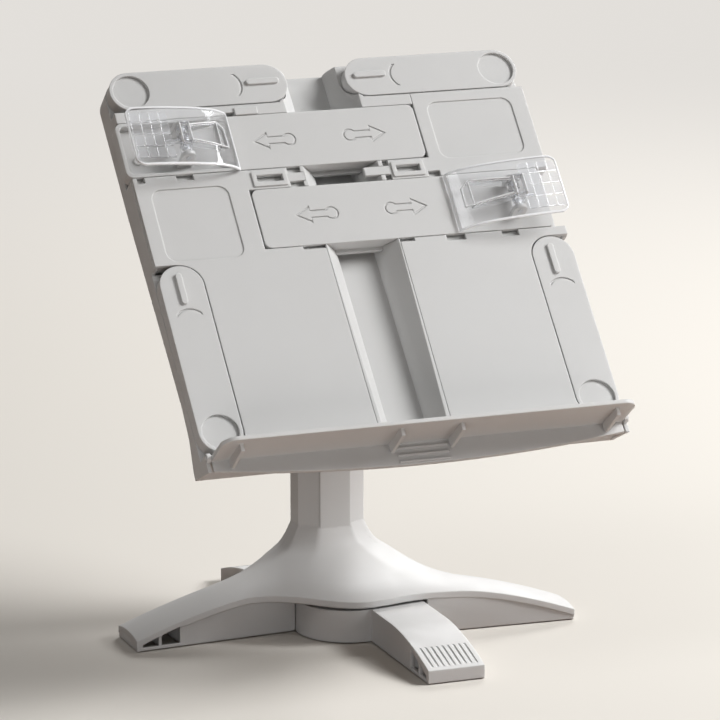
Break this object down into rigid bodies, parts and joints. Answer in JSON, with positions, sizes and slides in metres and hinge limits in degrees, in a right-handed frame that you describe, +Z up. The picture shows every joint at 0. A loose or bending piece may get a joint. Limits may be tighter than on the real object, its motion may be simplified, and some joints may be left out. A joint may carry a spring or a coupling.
{
  "type": "folding bookstand rack",
  "caption": "Tilting reading board with sliding clips, swing-out side arms and a folding ledge, on a telescoping column with a folding cross base.",
  "frame": {"origin": "centre of the base's pivot cap, on the table", "axes": "+Z up, +X to the reader's right across the board, -Y toward the reader"},
  "size_m": [0.248, 0.2412, 0.31],
  "materials": {
    "shell_plastic": "fine satin",
    "inner_plastic": "satin",
    "glide_plastic": "waxy",
    "clear_plastic": "clear and glossy",
    "steel": "zinc plated",
    "spring_steel": "polished wire",
    "rubber": "soft"
  },
  "bodies": {
    "base": {"base_shell": "shell_plastic", "pivot_screw": "steel", "pivot_washer": "steel", "pivot_cap": "inner_plastic", "wing_pads": "rubber", "column_collar": "inner_plastic"},
    "cross_bar": {"cross_bar": "shell_plastic", "cross_bar_pads": "rubber"},
    "post": {"inner_post": "shell_plastic", "post_glides": "glide_plastic", "tilt_bolt": "steel", "tilt_nut": "steel", "tilt_washers": "rubber"},
    "board": {"board_tray": "shell_plastic", "left_cover": "shell_plastic", "right_lower_cover": "shell_plastic", "right_upper_cover": "shell_plastic", "cover_screws": "steel", "hinge_bracket": "inner_plastic", "bracket_screws": "steel"},
    "ledge": {"ledge_flap": "shell_plastic"},
    "upper_left_arm": {"upper_left_arm": "shell_plastic"},
    "upper_right_arm": {"upper_right_arm": "shell_plastic"},
    "lower_left_arm": {"lower_left_arm": "shell_plastic"},
    "lower_right_arm": {"lower_right_arm": "shell_plastic"},
    "upper_slide": {"upper_slide": "shell_plastic", "left_clip_pin": "steel", "left_clip_spring": "spring_steel"},
    "lower_slide": {"lower_slide": "shell_plastic", "right_clip_pin": "steel", "right_clip_spring": "spring_steel"},
    "left_clip": {"left_clip": "clear_plastic"},
    "right_clip": {"right_clip": "clear_plastic"}
  },
  "joints": [
    {"name": "cross_bar_fold", "type": "hinge", "parent": "base", "child": "cross_bar", "pos_m": [0, 0, 0.01], "axis": [0, 0, 1], "range_deg": [-90, 0]},
    {"name": "post_slide", "type": "slide", "parent": "base", "child": "post", "axis": [0, 0, 1], "range_m": [0, 0.08]},
    {"name": "board_tilt", "type": "hinge", "parent": "post", "child": "board", "pos_m": [0, 0.0325, 0.219], "axis": [1, 0, 0], "range_deg": [-37, 40]},
    {"name": "ledge_fold", "type": "hinge", "parent": "board", "child": "ledge", "pos_m": [0, -0.10615, 0.1347], "axis": [-1, 0, 0], "range_deg": [0, 95]},
    {"name": "upper_left_arm_swing", "type": "hinge", "parent": "board", "child": "upper_left_arm", "pos_m": [-0.107, 0.05111, 0.29834], "axis": [0, -0.7361, 0.6769], "range_deg": [0, 180]},
    {"name": "upper_right_arm_swing", "type": "hinge", "parent": "board", "child": "upper_right_arm", "pos_m": [0.107, 0.05111, 0.29834], "axis": [0, 0.7361, -0.6769], "range_deg": [0, 180]},
    {"name": "lower_left_arm_swing", "type": "hinge", "parent": "board", "child": "lower_left_arm", "pos_m": [-0.1072, -0.09205, 0.14265], "axis": [0, -0.7361, 0.6769], "range_deg": [0, 90]},
    {"name": "lower_right_arm_swing", "type": "hinge", "parent": "board", "child": "lower_right_arm", "pos_m": [0.1072, -0.09205, 0.14265], "axis": [0, 0.7361, -0.6769], "range_deg": [0, 90]},
    {"name": "upper_slide_out", "type": "slide", "parent": "board", "child": "upper_slide", "axis": [-1, 0, 0], "range_m": [0, 0.06]},
    {"name": "lower_slide_out", "type": "slide", "parent": "board", "child": "lower_slide", "axis": [1, 0, 0], "range_m": [0, 0.06]},
    {"name": "left_clip_open", "type": "hinge", "parent": "upper_slide", "child": "left_clip", "pos_m": [-0.087, 0.01923, 0.27726], "axis": [0, -0.6769, -0.7361], "range_deg": [0, 11], "stiffness_Nm_per_rad": 0.06, "springref_deg": -22.92, "deforming": ["left_clip_spring"]},
    {"name": "right_clip_open", "type": "hinge", "parent": "lower_slide", "child": "right_clip", "pos_m": [0.093, -0.01373, 0.24141], "axis": [0, 0.6769, 0.7361], "range_deg": [0, 11], "stiffness_Nm_per_rad": 0.06, "springref_deg": -22.92, "deforming": ["right_clip_spring"]}
  ]
}
